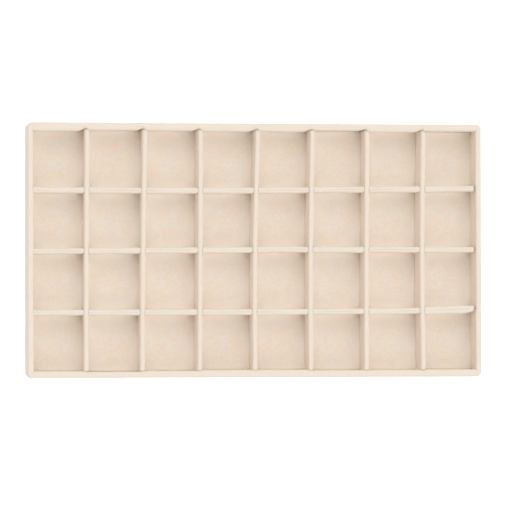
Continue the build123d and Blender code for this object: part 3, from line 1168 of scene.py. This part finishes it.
def either_shader(tree, share, first, second):
    """Shows the first shader where the share is 0 and the second where it is 1."""
    node = tree.nodes.new("ShaderNodeMixShader")
    tree.links.new(share, node.inputs[0])
    tree.links.new(first, node.inputs[1])
    tree.links.new(second, node.inputs[2])
    return node.outputs[0]


def flat_floor():
    """Square grid with its outward side up."""
    edge = np.linspace(-table_reach, table_reach, 3)
    x, y = np.meshgrid(edge, edge, indexing="ij")
    return surface("table_top", np.stack([x, y, 0 * x], axis=-1))


def table_white():
    """Pale and dull, glowing to the camera alone, and clear where its underside is seen."""
    finish, tree, shader = new_finish("white_table")
    shader.inputs["Base Color"].default_value = (0.9, 0.9, 0.9, 1)
    shader.inputs["Roughness"].default_value = 0.9
    shader.inputs["Emission Color"].default_value = (1, 1, 1, 1)
    glow = tree.nodes.new("ShaderNodeMath")
    glow.operation = "MULTIPLY"
    glow.inputs[1].default_value = table_glow
    tree.links.new(seen_directly(tree), glow.inputs[0])
    tree.links.new(glow.outputs[0], shader.inputs["Emission Strength"])
    from_below = tree.nodes.new("ShaderNodeNewGeometry").outputs["Backfacing"]
    clear = tree.nodes.new("ShaderNodeBsdfTransparent").outputs[0]
    both = either_shader(tree, from_below, shader.outputs[0], clear)
    tree.links.new(both, tree.nodes["Material Output"].inputs["Surface"])
    return finish


floor = flat_floor()
floor.data.materials.append(table_white())
print("table:", 2 * table_reach, "m wide")

# %% [markdown]
# Most of the light is even and comes from all round, and the world behind the table is white to
# the camera too. Two broad lamps face each other across the tray, one at the back and one at the
# front right. Each lights what the other leaves in shadow, but for the back right corner of every
# compartment, which neither reaches, and which is the one dark corner in the photograph too.

# %% World and lamps
def studio():
    """World that is white to the camera and gives an even, slightly warm light to the rest."""
    world = bpy.data.worlds.new("studio")
    world.use_nodes = True
    tree = world.node_tree
    tree.nodes.clear()
    soft_light = tree.nodes.new("ShaderNodeBackground")
    soft_light.inputs["Color"].default_value = (1.0, 0.99, 0.975, 1)
    soft_light.inputs["Strength"].default_value = 0.675
    backdrop = tree.nodes.new("ShaderNodeBackground")
    backdrop.inputs["Color"].default_value = (1, 1, 1, 1)
    sky = either_shader(tree, seen_directly(tree), soft_light.outputs[0], backdrop.outputs[0])
    output = tree.nodes.new("ShaderNodeOutputWorld")
    tree.links.new(sky, output.inputs["Surface"])
    return world


def softbox(name, azimuth, elevation, spread, strength):
    """A broad lamp far away. Its angles are in degrees: azimuth anticlockwise from the right,
    elevation up from the table, and spread, how wide it looks."""
    lamp = bpy.data.lights.new(name, "SUN")
    lamp.energy = strength
    lamp.angle = math.radians(spread)
    lamp.color = (1.0, 0.985, 0.96)
    stand = bpy.data.objects.new(name, lamp)
    stand.rotation_euler = (0, math.radians(90 - elevation), math.radians(azimuth))
    bpy.context.scene.collection.objects.link(stand)
    return stand


bpy.context.scene.world = studio()
lamps = [
    softbox("back_lamp", 86, 50, 48, 0.81),
    softbox("front_right_lamp", 300, 50, 60, 0.78),
]
print("lamps:", [lamp.name for lamp in lamps])

# %% [markdown]
# The camera stands far off with a long lens, because the tray's sides look parallel. Its distance
# follows from how the dividers' left faces come into view: hardly at the left end and by five or
# six pixels at the right end, which the same lean of the view can't give from further away.

# %% Camera
view_from_left = math.radians(7.8)
view_from_front = math.radians(1.2)
camera_distance = 2.8
camera_roll = math.radians(0.056)
focal_length = 252.6
sensor_width = 36
nearest_seen = 0.05
frame_shift_right = 1.40 * mm
frame_shift_down = 4.17 * mm

backward = Vector((-math.tan(view_from_left), -math.tan(view_from_front), 1)).normalized()
rightward = (Vector((1, 0, 0)) - backward * backward.x).normalized()
upward = backward.cross(rightward)
rolled_right = rightward * math.cos(camera_roll) + upward * math.sin(camera_roll)
rolled_up = upward * math.cos(camera_roll) - rightward * math.sin(camera_roll)

lens = bpy.data.cameras.new("long_lens")
lens.sensor_fit = "HORIZONTAL"
lens.sensor_width = sensor_width
lens.lens = focal_length
lens.clip_start = nearest_seen
camera = bpy.data.objects.new("camera", lens)
camera_place = Vector((0, 0, rim_height / 2)) + backward * camera_distance
camera_place = camera_place + rolled_right * frame_shift_right - rolled_up * frame_shift_down
camera.matrix_world = Matrix.Translation(camera_place) @ Matrix(
    (rolled_right, rolled_up, backward)
).transposed().to_4x4()
bpy.context.scene.collection.objects.link(camera)
bpy.context.scene.camera = camera
bpy.context.scene.view_settings.view_transform = "Standard"
print("camera stands at", [round(c, 3) for c in camera_place])
